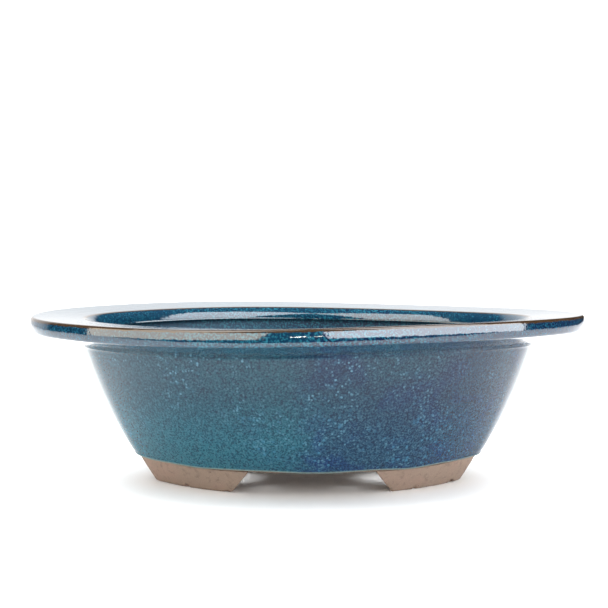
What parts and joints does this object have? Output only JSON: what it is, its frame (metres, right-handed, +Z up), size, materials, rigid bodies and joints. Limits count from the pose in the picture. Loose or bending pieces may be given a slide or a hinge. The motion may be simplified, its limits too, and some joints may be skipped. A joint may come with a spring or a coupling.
{
  "type": "bonsai pot",
  "caption": "Oval glazed bonsai pot with a broad turned-out lip on block feet, with mesh drain screens held by wire clips.",
  "frame": {"origin": "centre of the footprint on the ground plane that the feet stand on", "axes": "+X along the pot's length, +Y across it towards the back, +Z up"},
  "size_m": [0.3, 0.222, 0.091],
  "materials": {
    "clay": "matt",
    "glaze_wall": "satin",
    "glaze_rim": "gloss",
    "mesh_plastic": "matt",
    "clip_wire": "satin"
  },
  "bodies": {
    "root": {"wall": "clay", "floor": "clay", "lip": "clay", "foot_front_left": "clay", "foot_front_right": "clay", "foot_back_left": "clay", "foot_back_right": "clay", "glaze_outside": "glaze_wall", "glaze_lip": "glaze_rim", "glaze_inside": "glaze_rim", "drain_screen_left": "mesh_plastic", "drain_screen_right": "mesh_plastic", "screen_clip_left": "clip_wire", "screen_clip_right": "clip_wire"}
  },
  "joints": []
}
